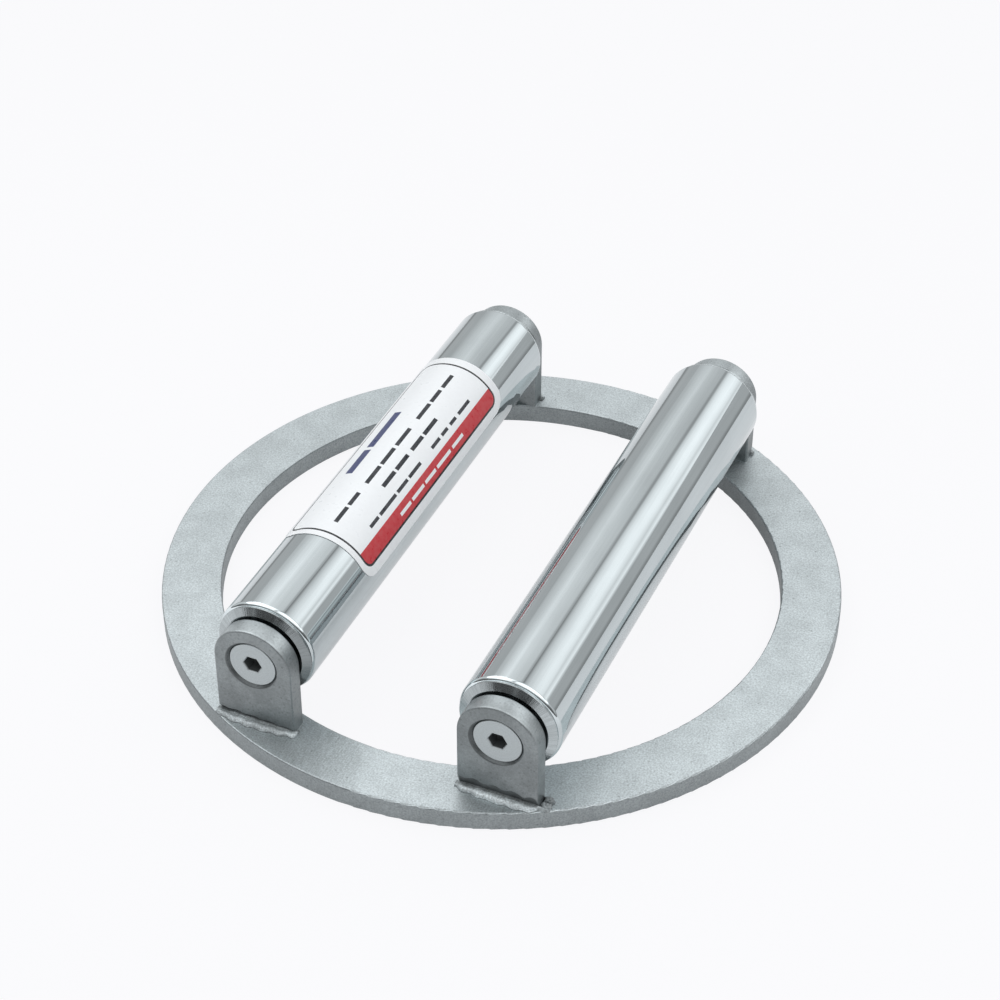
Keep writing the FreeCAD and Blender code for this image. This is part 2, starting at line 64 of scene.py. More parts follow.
CEILING_HEIGHT = 280 * MM
CEILING_FRONT, CEILING_BACK = -350 * MM, 640 * MM
CEILING_LEVELS = [
    (-450, 0.78), (-300, 0.90), (-200, 1.00), (-125, 1.10), (-75, 0.93), (0, 0.80), (45, 0.76),
    (62, 0.50), (76, 0.50), (92, 0.98), (125, 1.35), (175, 1.55), (215, 1.58), (260, 1.50), (310, 1.35),
    (365, 1.08), (420, 1.30), (470, 1.45), (520, 1.05), (570, 0.80), (600, 0.70),
]
SEAM_X = 69 * MM
SEAM_SLANT = 0.2
SEAM_MIDDLE = 290 * MM
SLANT_REACH = 300 * MM
LIGHT_TINT = (0.985, 1.0, 1.01)

# Changes of the ceiling's light from front to back: the Y where each starts and where it ends, and the
# factor before and after it

LEFT_PANEL_CHANGES = [(170 * MM, 330 * MM, 1.27, 1.0), (330 * MM, 560 * MM, 1.0, 0.86)]
RIGHT_PANEL_CHANGES = [(140 * MM, 280 * MM, 0.74, 1.0)]
CEILING_CHANGES = [(-240 * MM, -140 * MM, 1.1, 1.4), (-30 * MM, 120 * MM, 1.0, 1.0 / 1.4)]

# Walls: the world's light by direction, as the Z or the Y of a unit vector

HORIZON_LEVEL, SIDE_LEVEL, FRONT_LOW_LEVEL = 0.38, 0.62, 0.12
HORIZON_RISE = (-0.02, 0.08)
FRONT_RISE = (0.22, 0.5)
FRONT_TO_SIDE = (-0.4, 0.2)

# Backdrop and floor, with the shares of the floor's own glow for the camera and for reflections

BACKDROP = (0.962, 0.962, 0.979, 1.0)
FLOOR_HALF = 500 * MM
FLOOR_COLOUR = (0.93, 0.93, 0.94, 1.0)
FLOOR_FILL = 0.93
FLOOR_GLOSS_FILL = 0.35

# Where things are on the grate, as the frame has them

PAIR_X, PAIR_Y = 1.0 * MM, -1.2 * MM
BAR_HALF_SPACING = 31 * MM
BAR_HEIGHT = 23.4 * MM
LUG_OUTER_Y = 73.8 * MM
LUG_SIDE_X = 42.0 * MM
SCREW_TOP_Y = 73.5 * MM
RING_TOP, RING_INNER_RADIUS, RING_EDGE = 5.4 * MM, 71 * MM, 0.3 * MM
COLLAR_RADIUS = 12.1 * MM
LABEL_RADIUS = 12.85 * MM

# Traces of work, and painted shade. Ground patches of the ring have a middle X and Y, and the radii where
# they start to fade and where they end. Painted shade darkens the countersinks round the screws, the
# melted bevels with their oxidised metal, the weld's toes, the left collar's inner side and the sockets.

GROUND_PATCHES = [(-13 * MM, -78 * MM, 6 * MM, 19 * MM), (33 * MM, -79 * MM, 3 * MM, 9 * MM)]
GROUND_EDGE_WAVE = 9 * MM
SEAT_RADIUS, SEAT_EDGE, SEAT_SHADE_LEVEL = 6.2 * MM, 6.45 * MM, 0.5
SINK_SHIFT, SINK_EDGE, SINK_SHADE_LEVEL = (0.42 * MM, 0.36 * MM), 6.8 * MM, 0.45
MELTED_HALF_WIDTH, MELTED_DEPTH, MELTED_HEIGHT = 9.6 * MM, 2.5 * MM, 5.5 * MM
OXIDE_AND_SHADE_SHARE = 0.52
TOE_SHADE_LEVEL, SPATTER_TOE_SHADE_LEVEL = 0.3, 0.75
SHADED_COLLAR_X, COLLAR_PAINTED_SHADE = -16 * MM, 0.6
SOCKET_SHADE_LEVEL, SOCKET_METALLIC = 0.20, 0.2

# Spatter: two lumps of weld metal that ran off the front right bead, at X and Y with two radii and a
# height in millimetres, and how far they are let into the ring

SPATTER = [(43.4, -70.8, 1.4, 1.2, 1.2), (43.0, -72.5, 1.6, 1.1, 0.8)]
SPATTER_SINK = 0.08
SPATTER_RINGS, SPATTER_SPOKES = 8, 28
LUMP_POWER, LUMP_SCALE, LUMP_RISE, LUMP_WIDTH = 2.4, 1.7, 0.55, 0.3
FINER_SCALE, FINER_SHARE = 2.3, 0.5

# The rear right bead's end: the share that stays of what goes past the lug's side, and its length in CAD

END_SHARE, END_REACH = 0.25, 2.6 * MM

# Slow shades along an axis, each with where it starts and ends, and the factor before and after it. The
# ring's top gets painted light that grows to the right, its bore painted shade, and the tube ends a
# painted highlight.

RING_TOP_PAINTED_LIGHT = (-80 * MM, 80 * MM, 0.93, 1.09)
BORE_SHADE = (-30 * MM, 20 * MM, 1.0, 0.66)
LUG_FOOT_SHADE = (6 * MM, 17 * MM, 0.80, 1.0)
WELD_SIDE_SHADE = (-20 * MM, 20 * MM, 0.8, 1.0)
TUBE_END_PAINTED_HIGHLIGHT = (2 * MM, 11 * MM, 1.0, 1.7)

# Spans over which a finish, a painted shade or the painted highlight changes, and those of a noise factor
# that takes a level from low to high

OXIDE_AND_SHADE_SPAN = (LUG_OUTER_Y - 0.1 * MM, LUG_OUTER_Y + 0.5 * MM)
TOE_SHADE_SPAN = (RING_TOP + 0.05 * MM, RING_TOP + 0.25 * MM)
BEAD_TO_SPATTER = (LUG_SIDE_X - 0.5 * MM, LUG_SIDE_X + 0.5 * MM)
SOCKET_SPAN = (SCREW_TOP_Y - 0.4 * MM, SCREW_TOP_Y - 0.03 * MM)
COLLAR_SHADE_SPAN = (4 * MM, 10 * MM)
TUBE_END_TILT = (0.12, 0.4)
WIDE, NARROW = (0.3, 0.7), (0.35, 0.65)

# Colours

STEEL_TINT = (0.925, 1.0, 1.022)
PAPER_WHITE = (0.845, 0.862, 0.878, 1.0)
BLACK_INK = (0.018, 0.019, 0.022, 1.0)
TEXT_INK = (0.022, 0.024, 0.030, 1.0)
TITLE_INK = (0.050, 0.062, 0.16, 1.0)
RED_INK = (0.54, 0.045, 0.055, 1.0)

# Print of the sticker, in millimetres: the border, the red band in it, and rows of bars. A row has its
# top, its bottom, and where each of its bars starts and stops.

BORDER = ((-10.0, 15.3), (-38.0, 37.1))
BORDER_CORNER = 2.6
BORDER_LINE = 0.60
BAND_TOP = 11.0
PRINT_HALF = 40.0
TITLE_ROW = [(-6.3, -4.2, [(-14.5, -4.0), (-2.6, 13.5)])]
TEXT_ROWS = [
    (0.7, 1.8, [
        (-34.0, -27.6), (-26.6, -21.4), (-17.4, -9.8), (-8.8, -1.6), (-0.6, 7.2), (11.6, 19.0),
        (20.0, 25.6), (26.6, 32.8),
    ]),
    (4.6, 5.7, [(-15.8, -9.2), (-8.2, -1.8), (0.4, 6.6), (7.6, 15.0)]),
    (8.4, 9.3, [
        (-29.2, -24.8), (-23.8, -15.2), (-14.2, -8.6), (-7.6, -1.0), (5.4, 10.2), (11.4, 15.0),
        (16.3, 20.0), (21.3, 28.0),
    ]),
]
BAND_ROW = [(12.7, 13.6, [(-18.2, -12.8), (-11.8, -5.2), (-4.2, 1.6), (2.6, 10.6), (11.6, 18.0)])]


# Small helpers for node trees

class Tree:
    """Adds nodes to a material's or a world's tree. An input is a number, a colour, a socket or a node."""

    def __init__(self, owner):
        owner.use_nodes = True
        self.nodes = owner.node_tree.nodes
        self.links = owner.node_tree.links
        self.nodes.clear()

    def add(self, kind, **inputs):
        """A node, with inputs by name (spaces as underscores) or by number."""
        node = self.nodes.new(kind)
        for name, source in inputs.items():
            self.feed(node, name.replace("_", " "), source)
        return node

    def feed(self, node, name, source):
        socket = node.inputs[int(name)] if name.isdigit() else node.inputs[name]
        if isinstance(source, bpy.types.NodeSocket):
            self.links.new(source, socket)
        elif isinstance(source, bpy.types.Node):
            self.links.new(source.outputs[0], socket)
        else:
            socket.default_value = source

    def math(self, operation, first, second=0.0, third=0.0):
        node = self.nodes.new("ShaderNodeMath")
        node.operation = operation
        for index, source in enumerate((first, second, third)):
            self.feed(node, str(index), source)
        return node.outputs[0]

    def gap(self, source, middle):
        """How far a number is from a middle value, to either side."""
        return self.math("ABSOLUTE", self.math("SUBTRACT", source, middle))

    def product(self, *factors):
        result = factors[0]
        for factor in factors[1:]:
            result = self.math("MULTIPLY", result, factor)
        return result

    def distance(self, first, second):
        squares = [self.math("MULTIPLY", length, length) for length in (first, second)]
        return self.math("SQRT", self.math("ADD", *squares))

    def spread(self, source, low, high, to_low=0.0, to_high=1.0, smooth=True):
        """Takes the span from low to high to another one, clamped at its ends."""
        node = self.nodes.new("ShaderNodeMapRange")
        node.interpolation_type = "SMOOTHSTEP" if smooth else "LINEAR"
        names = ("Value", "From Min", "From Max", "To Min", "To Max")
        for name, given in zip(names, (source, low, high, to_low, to_high)):
            self.feed(node, name, given)
        return node.outputs[0]

    def changes(self, source, steps):
        """A factor along a source: each step has a start, an end, and the factor before and after it."""
        return self.product(*[self.spread(source, *step) for step in steps])

    def blend(self, share, first, second):
        """A number between two others."""
        return self.add("ShaderNodeMix", **{"0": share, "2": first, "3": second}).outputs[0]

    def mix(self, share, first, second):
        """A colour between two others."""
        node = self.nodes.new("ShaderNodeMix")
        node.data_type = "RGBA"
        self.feed(node, "0", share)
        self.feed(node, "6", first)
        self.feed(node, "7", second)
        return node.outputs[2]

    def either(self, share, first, second):
        """One shader or another."""
        return self.add("ShaderNodeMixShader", **{"0": share, "1": first, "2": second})

    def split(self, vector):
        return self.add("ShaderNodeSeparateXYZ", Vector=vector)


def grey(level, tint=(1.0, 1.0, 1.0)):
    return (level * tint[0], level * tint[1], level * tint[2], 1.0)


# Stage

def make_camera():
    azimuth = math.radians(CAMERA_AZIMUTH)
    elevation = math.radians(CAMERA_ELEVATION)
    level = math.cos(elevation)
    back = Vector((math.sin(azimuth) * level, -math.cos(azimuth) * level, math.sin(elevation)))
    right = Vector((math.cos(azimuth), math.sin(azimuth), 0.0))
    up = back.cross(right)
    data = bpy.data.cameras.new("camera")
    data.lens = CAMERA_LENS
    data.sensor_width = SENSOR_WIDTH
    data.sensor_fit = "HORIZONTAL"
    camera = bpy.data.objects.new("camera", data)
    place = back * CAMERA_DISTANCE + right * CAMERA_RIGHT + up * CAMERA_UP
    turn = Matrix((right, up, back)).transposed() @ Matrix.Rotation(math.radians(CAMERA_ROLL), 3, "Z")
    camera.matrix_world = Matrix.Translation(place) @ turn.to_4x4()
    bpy.context.scene.collection.objects.link(camera)
    bpy.context.scene.camera = camera


def make_world():
    """Walls of the tent: darker at the horizon and low on the front side, plain white to the camera."""
    world = bpy.data.worlds.new("studio")
    bpy.context.scene.world = world
    tree = Tree(world)
    way = tree.split(tree.add("ShaderNodeTexCoord").outputs["Generated"])
    wall = tree.spread(way.outputs["Z"], *HORIZON_RISE, HORIZON_LEVEL, SIDE_LEVEL)
    front = tree.spread(way.outputs["Z"], *FRONT_RISE, FRONT_LOW_LEVEL / SIDE_LEVEL, 1.0)
    strength = tree.product(wall, tree.spread(way.outputs["Y"], *FRONT_TO_SIDE, front, 1.0))
    walls = tree.add("ShaderNodeBackground", Color=grey(1.0, LIGHT_TINT), Strength=strength)
    plain = tree.add("ShaderNodeBackground", Color=BACKDROP, Strength=1.0)
    seen = tree.add("ShaderNodeLightPath").outputs["Is Camera Ray"]
    tree.add("ShaderNodeOutputWorld", Surface=tree.either(seen, walls, plain))


def add_plane(name, low, high, height):
    mesh = bpy.data.meshes.new(name)
    (left, front), (right, back) = low, high
    corners = [(left, front, height), (right, front, height), (right, back, height), (left, back, height)]
    mesh.from_pydata(corners, [], [(0, 1, 2, 3)])
    plane = bpy.data.objects.new(name, mesh)
    bpy.context.scene.collection.objects.link(plane)
    return plane


def make_ceiling():
    first, last = CEILING_LEVELS[0][0] * MM, CEILING_LEVELS[-1][0] * MM
    ceiling = add_plane("ceiling", (first, CEILING_FRONT), (last, CEILING_BACK), CEILING_HEIGHT)
    ceiling.visible_camera = False
    material = bpy.data.materials.new("soft_panels")
    tree = Tree(material)
    place = tree.split(tree.add("ShaderNodeTexCoord").outputs["Object"])
    slant = tree.math("MULTIPLY", tree.math("SUBTRACT", place.outputs["Y"], SEAM_MIDDLE), -SEAM_SLANT)
    near_seam = tree.spread(tree.math("ABSOLUTE", place.outputs["X"]), 0.0, SLANT_REACH, 1.0, 0.0)
    across = tree.math("ADD", place.outputs["X"], tree.math("MULTIPLY", slant, near_seam))
    ramp = tree.add("ShaderNodeValToRGB", Fac=tree.spread(across, first, last, smooth=False))
    elements = ramp.color_ramp.elements
    brightest = max(level for _, level in CEILING_LEVELS)
    while len(elements) < len(CEILING_LEVELS):
        elements.new(0.5)
    for element, (at, level) in zip(elements, CEILING_LEVELS):
        element.position = (at * MM - first) / (last - first)
        element.color = grey(level / brightest)
    left, right, both = [
        tree.changes(place.outputs["Y"], steps)
        for steps in (LEFT_PANEL_CHANGES, RIGHT_PANEL_CHANGES, CEILING_CHANGES)
    ]
    along = tree.product(tree.blend(tree.math("GREATER_THAN", across, SEAM_X), left, right), both)
    strength = tree.product(ramp.outputs["Color"], along, brightest)
    glow = tree.add("ShaderNodeEmission", Color=grey(1.0, LIGHT_TINT), Strength=strength)
    tree.add("ShaderNodeOutputMaterial", Surface=glow)
    ceiling.data.materials.append(material)


def make_floor():
    """White paper that takes the grate's shadow faintly, since most of its light is its own glow."""
    floor = add_plane("floor", (-FLOOR_HALF, -FLOOR_HALF), (FLOOR_HALF, FLOOR_HALF), 0.0)
    material = bpy.data.materials.new("floor_paper")
    tree = Tree(material)
    paper = tree.add("ShaderNodeBsdfDiffuse", Color=FLOOR_COLOUR)
    bright = tree.add("ShaderNodeEmission", Color=BACKDROP, Strength=1.0)
    ray = tree.add("ShaderNodeLightPath")
    camera_share = tree.math("MULTIPLY", ray.outputs["Is Camera Ray"], FLOOR_FILL)
    gloss_share = tree.math("MULTIPLY", ray.outputs["Is Glossy Ray"], FLOOR_GLOSS_FILL)
    glowing = tree.math("MAXIMUM", camera_share, gloss_share)
    tree.add("ShaderNodeOutputMaterial", Surface=tree.either(glowing, paper, bright))
    floor.data.materials.append(material)


# Finishes. Every node's mesh is in the grate's own frame, so object coordinates are places on the grate.

def metal(name):
    """A metal shader on an empty tree, with the place on the grate whole and split."""
    material = bpy.data.materials.new(name)
    tree = Tree(material)
    shader = tree.add("ShaderNodeBsdfPrincipled", Metallic=1.0)
    tree.add("ShaderNodeOutputMaterial", Surface=shader)
    place = tree.add("ShaderNodeTexCoord").outputs["Object"]
    return material, tree, shader, place, tree.split(place)


def paint(tree, shader, level):
    """Gives the shader a grey of a varying level with the steel's tint."""
    red, green, blue = [tree.math("MULTIPLY", level, share) for share in STEEL_TINT]
    tree.feed(shader, "Base Color", tree.add("ShaderNodeCombineColor", Red=red, Green=green, Blue=blue))


def noise(tree, place, size, detail=2.0, stretch=None):
    """Fractal noise with features of a size in metres, longer along the axes that stretch names."""
    if stretch:
        place = tree.add("ShaderNodeMapping", Vector=place, Scale=stretch)
    return tree.add("ShaderNodeTexNoise", Vector=place, Scale=1.0 / size, Detail=detail).outputs["Fac"]


def pits(tree, place, spacing, size, darkness):
    """A factor that is 1, but goes down to a darkness in scattered specks."""
    cells = tree.add("ShaderNodeTexVoronoi", Vector=place, Scale=1.0 / spacing)
    return tree.spread(cells.outputs["Distance"], 0.4 * size / spacing, size / spacing, darkness, 1.0)


def from_bar_axis(tree, way):
    """How far a place is outwards and up from the nearer bar's axis."""
    outwards = tree.math("SUBTRACT", tree.gap(way.outputs["X"], PAIR_X), BAR_HALF_SPACING)
    return outwards, tree.math("SUBTRACT", way.outputs["Z"], BAR_HEIGHT)


def from_pair_middle(tree, way):
    """How far a place is from the pair's middle, along the bars."""
    return tree.gap(way.outputs["Y"], PAIR_Y)


def bump(tree, shader, height, depth):
    """Roughens the surface with a height factor that stands for a depth in metres."""
    tree.feed(shader, "Normal", tree.add("ShaderNodeBump", Strength=1.0, Distance=depth, Height=height))


def grained(name, level, roughness, upright_shade, grain, mottle=0.05, tilt=(0.25, 0.85)):
    """Bead-blasted steel: fine grain, faint mottle, pits, and painted shade that makes vertical faces
    darker.

    tilt is the span of a face's upward share over which the painted shade goes from full on vertical faces
    to none on level ones.
    """
    material, tree, shader, place, way = metal(name)
    tree.feed(shader, "Roughness", roughness)
    fine = noise(tree, place, 0.42 * MM, detail=3.0)
    facing = tree.split(tree.add("ShaderNodeNewGeometry").outputs["True Normal"])
    tone = tree.product(
        tree.spread(fine, *WIDE, (1.0 - grain) * level, (1.0 + grain) * level, smooth=False),
        tree.spread(noise(tree, place, 7 * MM, detail=3.0), *NARROW, 1.0 - mottle, 1.0 + mottle),
        # Painted shade: vertical faces are painted darker than level ones
        tree.spread(tree.math("ABSOLUTE", facing.outputs["Z"]), *tilt, upright_shade, 1.0),
        pits(tree, place, spacing=2.6 * MM, size=0.35 * MM, darkness=0.72),
    )
    bump(tree, shader, fine, depth=0.02 * MM)
    return material, tree, shader, place, way, tone


def ring_finish():
    """Blasted, with darker ground patches of straight scratches by the front lugs' feet.

    Painted light makes the top lighter from left to right, and painted shade makes the bore and the outer
    wall darker.
    """
    material, tree, shader, place, way, tone = grained(
        "blasted_stainless", level=0.63, roughness=0.48, upright_shade=0.55, grain=0.21, tilt=(0.6, 0.98),
    )
    uneven = tree.math("SUBTRACT", noise(tree, place, 7 * MM), 0.5)
    uneven = tree.math("MULTIPLY", uneven, GROUND_EDGE_WAVE)
    patch = 0.0
    for x, y, core, reach in GROUND_PATCHES:
        sides = [tree.math("SUBTRACT", way.outputs[axis], at) for axis, at in (("X", x), ("Y", y))]
        away = tree.math("ADD", tree.distance(*sides), uneven)
        patch = tree.math("MAXIMUM", patch, tree.spread(away, core, reach, 1.0, 0.0))
    scratches = noise(tree, place, 0.3 * MM, stretch=(1.0, 0.06, 1.0))
    ground = tree.blend(patch, 1.0, tree.spread(scratches, *WIDE, 0.78, 0.98, smooth=False))
    # Painted light: the top is painted lighter from left to right; the bore gets painted shade below
    painted_top_light = tree.spread(way.outputs["X"], *RING_TOP_PAINTED_LIGHT, smooth=False)
    is_top = tree.math("GREATER_THAN", way.outputs["Z"], RING_TOP - RING_EDGE)
    top = tree.blend(is_top, 1.0, tree.product(ground, painted_top_light))
    radius = tree.distance(way.outputs["X"], way.outputs["Y"])
    is_bore = tree.math("LESS_THAN", radius, RING_INNER_RADIUS + RING_EDGE / 2)
    bore = tree.blend(is_bore, 1.0, tree.spread(way.outputs["X"], *BORE_SHADE))
    paint(tree, shader, tree.product(tone, top, bore))
    return material


def lug_finish():
    """Blasted flat bar: vertical faces painted darker as shade, darker at its foot, oxidised and with
    painted shade in the melted bevel, and painted shade in the countersink round the screw.
    """
    material, tree, shader, place, way, tone = grained(
        "lug_stainless", level=0.50, roughness=0.42, upright_shade=0.57, grain=0.11, mottle=0.12,
    )
    foot = tree.spread(way.outputs["Z"], *LUG_FOOT_SHADE)
    outwards, rise = from_bar_axis(tree, way)
    depth = tree.math("SUBTRACT", LUG_OUTER_Y, from_pair_middle(tree, way))
    # The melted bevel under the front face: oxidised, less metallic, and painted darker as shade
    melted = tree.product(
        tree.spread(depth, 0.0, 0.12 * MM),
        tree.math("LESS_THAN", way.outputs["Z"], RING_TOP + MELTED_HEIGHT),
        tree.math("LESS_THAN", tree.math("ABSOLUTE", outwards), MELTED_HALF_WIDTH),
        tree.math("LESS_THAN", depth, MELTED_DEPTH),
    )
    oxide_and_shade = tree.spread(melted, 0.0, 1.0, 1.0, OXIDE_AND_SHADE_SHARE, smooth=False)
    tree.feed(shader, "Metallic", tree.spread(melted, 0.0, 1.0, 1.0, 0.75, smooth=False))
    side = tree.math("SIGN", tree.math("SUBTRACT", way.outputs["X"], PAIR_X))
    rightwards = tree.math("MULTIPLY", outwards, side)
    # Painted shade in the countersink: a thin dark ring round the head, and a wider crescent where the
    # countersink is off centre
    outline = tree.spread(tree.distance(rightwards, rise), SEAT_RADIUS, SEAT_EDGE, SEAT_SHADE_LEVEL, 1.0)
    sink = tree.distance(
        tree.math("ADD", rightwards, SINK_SHIFT[0]), tree.math("ADD", rise, SINK_SHIFT[1]),
    )
    seat_shade = tree.math("MINIMUM", outline, tree.spread(sink, SEAT_EDGE, SINK_EDGE, SINK_SHADE_LEVEL, 1.0))
    specks = pits(tree, place, spacing=1.3 * MM, size=0.4 * MM, darkness=0.83)
    paint(tree, shader, tree.product(tone, foot, seat_shade, oxide_and_shade, specks))
    return material


def weld_finish():
    """Grainy bead with lighter crests, oxidised and with painted shade where it meets the lug, and painted
    shade along its toe and round the spatter's foot.
    """
    material, tree, shader, place, way, tone = grained(
        "weld_metal", level=0.66, roughness=0.5, upright_shade=1.0, grain=0.34, mottle=0.14,
    )
    tree.feed(shader, "Metallic", 0.45)
    crest = tree.spread(noise(tree, place, 1.4 * MM, detail=3.0), 0.35, 0.7, 0.85, 1.12)
    # Oxidised metal and painted shade where the bead meets the lug's face
    uneven = tree.math("MULTIPLY", noise(tree, place, 2 * MM), 0.8 * MM)
    depth = tree.math("ADD", from_pair_middle(tree, way), uneven)
    oxide_and_shade = tree.spread(depth, *OXIDE_AND_SHADE_SPAN, OXIDE_AND_SHADE_SHARE, 1.0)
    # Painted shade along the toe, fainter round the spatter's foot
    toe_shade_level = tree.spread(way.outputs["X"], *BEAD_TO_SPATTER, TOE_SHADE_LEVEL, SPATTER_TOE_SHADE_LEVEL)
    toe = tree.spread(way.outputs["Z"], *TOE_SHADE_SPAN, toe_shade_level, 1.0)
    side = tree.spread(way.outputs["X"], *WELD_SIDE_SHADE)
    paint(tree, shader, tree.product(tone, crest, oxide_and_shade, toe, side))
    return material


def tube_finish():
    """Mirror-polished tube: faintly wavy skin, hairlines along it, and a painted highlight on its rounded
    ends, brighter towards their top.
    """
    material, tree, shader, place, way = metal("polished_stainless")
    hairs = noise(tree, place, 0.5 * MM, detail=3.0, stretch=(1.0, 0.02, 1.0))
    cloud = noise(tree, place, 6 * MM, detail=4.0, stretch=(1.0, 0.35, 1.0))
    facing = tree.split(tree.add("ShaderNodeNewGeometry").outputs["True Normal"])
    # Painted highlight on the rounded ends, brighter towards their top
    end_painted_highlight = tree.spread(from_bar_axis(tree, way)[1], *TUBE_END_PAINTED_HIGHLIGHT)
    paint(tree, shader, tree.product(
        tree.spread(hairs, *WIDE, 0.545, 0.575, smooth=False),
        tree.spread(cloud, *WIDE, 0.97, 1.03),
        tree.spread(tree.math("ABSOLUTE", facing.outputs["Y"]), *TUBE_END_TILT, 1.0, end_painted_highlight),
    ))
    tree.feed(shader, "Roughness", tree.spread(hairs, 0.35, 0.75, 0.025, 0.085))
    bump(tree, shader, noise(tree, place, 9 * MM, detail=1.0, stretch=(1.0, 0.12, 1.0)), depth=0.016 * MM)
    return material


def plug_finish():
    """Turned collar dressed by hand: scratches run towards the axis, and the left bar's has painted shade
    on its inner side.
    """
    material, tree, shader, _, way = metal("turned_stainless")
    outwards, rise = from_bar_axis(tree, way)
    arc = tree.math("MULTIPLY", tree.math("ARCTAN2", rise, outwards), COLLAR_RADIUS)
    around = tree.add("ShaderNodeCombineXYZ", X=arc, Y=way.outputs["Y"])
    scratches = noise(tree, around, 0.35 * MM, stretch=(1.0, 0.12, 1.0))
    patches = noise(tree, around, 6 * MM)
    # Painted shade on the left collar's inner side
    from_collar_shade = tree.gap(way.outputs["X"], SHADED_COLLAR_X)
    paint(tree, shader, tree.product(
        tree.spread(scratches, *WIDE, 0.42, 0.54, smooth=False),
        tree.spread(patches, *NARROW, 0.88, 1.06),
        tree.spread(from_collar_shade, *COLLAR_SHADE_SPAN, COLLAR_PAINTED_SHADE, 1.0),
    ))
    tree.feed(shader, "Roughness", tree.spread(patches, 0.4, 0.6, 0.14, 0.26))
    bump(tree, shader, scratches, depth=0.02 * MM)
    return material


def screw_finish():
    """Cold-formed head, satin on top, with painted shade deep in its socket."""
    material, tree, shader, place, way = metal("screw_stainless")
    tree.feed(shader, "Roughness", 0.3)
    fine = noise(tree, place, 0.3 * MM, detail=3.0)
    radius = tree.add("ShaderNodeCombineXYZ", X=tree.distance(*from_bar_axis(tree, way)))
    rings = noise(tree, radius, 0.25 * MM)
    height = from_pair_middle(tree, way)
    # Painted shade deep in the socket: darker and less metallic
    paint(tree, shader, tree.product(
        tree.spread(fine, *WIDE, 0.43, 0.51, smooth=False),
        tree.spread(rings, *WIDE, 0.96, 1.04),
        tree.spread(height, *SOCKET_SPAN, SOCKET_SHADE_LEVEL, 1.0),
    ))
    tree.feed(shader, "Metallic", tree.spread(height, *SOCKET_SPAN, SOCKET_METALLIC, 1.0))
    bump(tree, shader, fine, depth=0.008 * MM)
    return material


def core_finish(name, level, roughness):
    """Plain metal for what is hidden in the tubes."""
    material, tree, shader, place, _ = metal(name)
    tree.feed(shader, "Roughness", roughness)
    fine = noise(tree, place, 0.8 * MM, detail=3.0)
    paint(tree, shader, tree.spread(fine, *WIDE, 0.9 * level, 1.1 * level))
    return material


# The sticker's print, laid out flat: "down" is millimetres round the bar from its top towards +X, and
# "along" is millimetres from front to rear. Rows of plain bars stand where a label has its lines.

def outside_frame(tree, down, along):
    """Distance outside the border's line, a frame with rounded corners; negative inside it."""
    past = [
        tree.math("SUBTRACT", tree.gap(value, (low + high) / 2), (high - low) / 2 - BORDER_CORNER)
        for value, (low, high) in zip((down, along), BORDER)
    ]
    outside = tree.distance(*[tree.math("MAXIMUM", length, 0.0) for length in past])
    inside = tree.math("MINIMUM", tree.math("MAXIMUM", *past), 0.0)
    return tree.math("SUBTRACT", tree.math("ADD", outside, inside), BORDER_CORNER)


def bars(tree, down, along, rows):
    """1 on the bars of some rows, 0 elsewhere."""
    covered = 0.0
    for top, bottom, words in rows:
        share = tree.spread(along, -PRINT_HALF, PRINT_HALF, smooth=False)
        ramp = tree.add("ShaderNodeValToRGB", Fac=share)
        ramp.color_ramp.interpolation = "CONSTANT"
        elements = ramp.color_ramp.elements
        stops = [(-PRINT_HALF, 0.0)]
        for start, stop in words:
            stops += [(start, 1.0), (stop, 0.0)]
        while len(elements) < len(stops):
            elements.new(0.5)
        for element, (at, inked) in zip(elements, stops):
            element.position = (at + PRINT_HALF) / (2 * PRINT_HALF)
            element.color = grey(inked)
        in_row = tree.math("COMPARE", down, (top + bottom) / 2, (bottom - top) / 2)
        covered = tree.math("MAXIMUM", covered, tree.math("MULTIPLY", in_row, ramp.outputs["Color"]))
    return covered


def printed_film():
    """White film with its print, faintly faded and uneven in gloss."""
    material = bpy.data.materials.new("printed_film")
    tree = Tree(material)
    shader = tree.add("ShaderNodeBsdfPrincipled", Specular_IOR_Level=0.3)
    tree.add("ShaderNodeOutputMaterial", Surface=shader)
    place = tree.add("ShaderNodeTexCoord").outputs["Object"]
    way = tree.split(place)
    across = tree.math("SUBTRACT", way.outputs["X"], PAIR_X - BAR_HALF_SPACING)
    rise = tree.math("SUBTRACT", way.outputs["Z"], BAR_HEIGHT)
    down = tree.math("MULTIPLY", tree.math("ARCTAN2", across, rise), LABEL_RADIUS / MM)
    along = tree.math("DIVIDE", way.outputs["Y"], MM)
    edge = outside_frame(tree, down, along)
    in_band = tree.math("GREATER_THAN", down, BAND_TOP)
    band = tree.math("MULTIPLY", in_band, tree.math("LESS_THAN", edge, 0.0))
    colour = tree.mix(bars(tree, down, along, TITLE_ROW), PAPER_WHITE, TITLE_INK)
    colour = tree.mix(bars(tree, down, along, TEXT_ROWS), colour, TEXT_INK)
    colour = tree.mix(band, colour, RED_INK)
    colour = tree.mix(bars(tree, down, along, BAND_ROW), colour, PAPER_WHITE)
    colour = tree.mix(tree.math("COMPARE", edge, 0.0, BORDER_LINE / 2), colour, BLACK_INK)
    soft = noise(tree, place, 1.5 * MM, detail=3.0)
    colour = tree.mix(tree.spread(soft, 0.35, 0.7, 0.0, 0.05), colour, grey(0.55))
    tree.feed(shader, "Base Color", colour)
    tree.feed(shader, "Roughness", tree.spread(soft, *WIDE, 0.27, 0.37))
    bump(tree, shader, noise(tree, place, 0.9 * MM), depth=0.006 * MM)
    return material


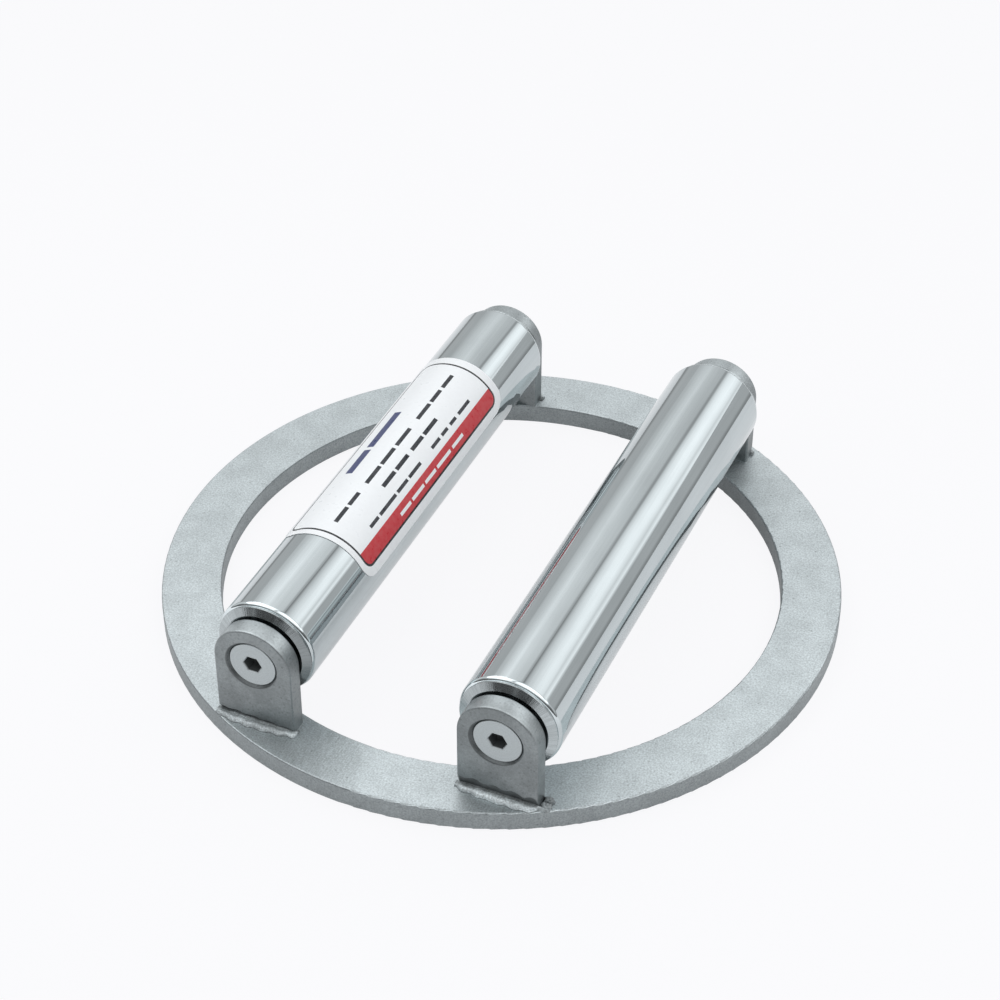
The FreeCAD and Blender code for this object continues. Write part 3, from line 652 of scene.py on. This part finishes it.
FINISHES = {
    "blasted_stainless": ring_finish,
    "lug_stainless": lug_finish,
    "weld_metal": weld_finish,
    "polished_stainless": tube_finish,
    "turned_stainless": plug_finish,
    "screw_stainless": screw_finish,
    "printed_film": printed_film,
    "magnet": lambda: core_finish("magnet", 0.6, 0.25),
    "pole_iron": lambda: core_finish("pole_iron", 0.4, 0.4),
}


# Pieces that scene.py adds

def lumpy(place):
    """Noise round 0 with a finer one on it; it gives the same value at a place on each run."""
    return lumps.noise(place) + FINER_SHARE * lumps.noise(place * FINER_SCALE)


def add_piece(name, mesh, material):
    """An object in the scene with this mesh and no material but this one."""
    mesh.materials.clear()
    mesh.materials.append(material)
    piece = bpy.data.objects.new(name, mesh)
    bpy.context.scene.collection.objects.link(piece)
    return piece


def add_lump(corners, faces, x, y, half_x, half_y, height):
    """One closed lump: a top point, rings of corners that widen to its foot, and a point below."""
    top = len(corners)
    for ring in range(SPATTER_RINGS + 1):
        out = ring / SPATTER_RINGS
        for spoke in range(SPATTER_SPOKES if ring else 1):
            turn = 2 * math.pi * spoke / SPATTER_SPOKES
            place = Vector((math.cos(turn) * out, math.sin(turn) * out, 0.0))
            lump = lumpy(place * LUMP_SCALE + Vector((x, y, 0.0)))
            rise = height * math.sqrt(1 - out ** LUMP_POWER) * (1 + LUMP_RISE * lump)
            wide = 1 + LUMP_WIDTH * lump
            corners.append((
                (x + half_x * place.x * wide) * MM, (y + half_y * place.y * wide) * MM,
                RING_TOP + (rise - SPATTER_SINK) * MM,
            ))
    below = len(corners)
    corners.append((x * MM, y * MM, RING_TOP - 2 * SPATTER_SINK * MM))
    foot = below - SPATTER_SPOKES
    for spoke in range(SPATTER_SPOKES):
        after = (spoke + 1) % SPATTER_SPOKES
        faces.append((top, top + 1 + spoke, top + 1 + after))
        for ring in range(SPATTER_RINGS - 1):
            inner = top + 1 + ring * SPATTER_SPOKES
            outer = inner + SPATTER_SPOKES
            faces.append((inner + spoke, outer + spoke, outer + after, inner + after))
        faces.append((below, foot + after, foot + spoke))


def make_spatter(material):
    """The lumps by the front right lug, as one piece."""
    corners, faces = [], []
    for lump in SPATTER:
        add_lump(corners, faces, *lump)
    mesh = bpy.data.meshes.new("weld_spatter")
    mesh.from_pydata(corners, [], faces)
    mesh.validate()
    mesh.polygons.foreach_set("use_smooth", [True] * len(mesh.polygons))
    spatter = add_piece("weld_spatter", mesh, material)
    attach(spatter, "root")


def make_short_bead(material):
    """The rear right bead with its far end drawn in, since no weld shows beside that lug."""
    mesh = frame["nodes"]["weld_rear_right"].data.copy()
    mesh.name = "bead_rear_right"
    for vertex in mesh.vertices:
        over = vertex.co.x - LUG_SIDE_X
        if over > 0:
            lower = 1 - END_SHARE * min(1.0, over / END_REACH)
            vertex.co.x = LUG_SIDE_X + END_SHARE * over
            vertex.co.z = RING_TOP + (vertex.co.z - RING_TOP) * lower
    bead = add_piece("bead_rear_right", mesh, material)
    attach(bead, "root")
    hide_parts("weld_rear_right")


def finish_nodes():
    """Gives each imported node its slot's finish, and adds the two pieces of weld metal."""
    slots = {part["node"]: part["material_slot"] for part in frame["record"]["subparts"]}
    made = {slot: make() for slot, make in FINISHES.items()}
    for name, node in frame["nodes"].items():
        node.data.materials.clear()
        node.data.materials.append(made[slots[name]])
    make_spatter(made["weld_metal"])
    make_short_bead(made["weld_metal"])


make_camera()
make_world()
make_ceiling()
make_floor()
finish_nodes()
bpy.context.scene.view_settings.view_transform = "Standard"
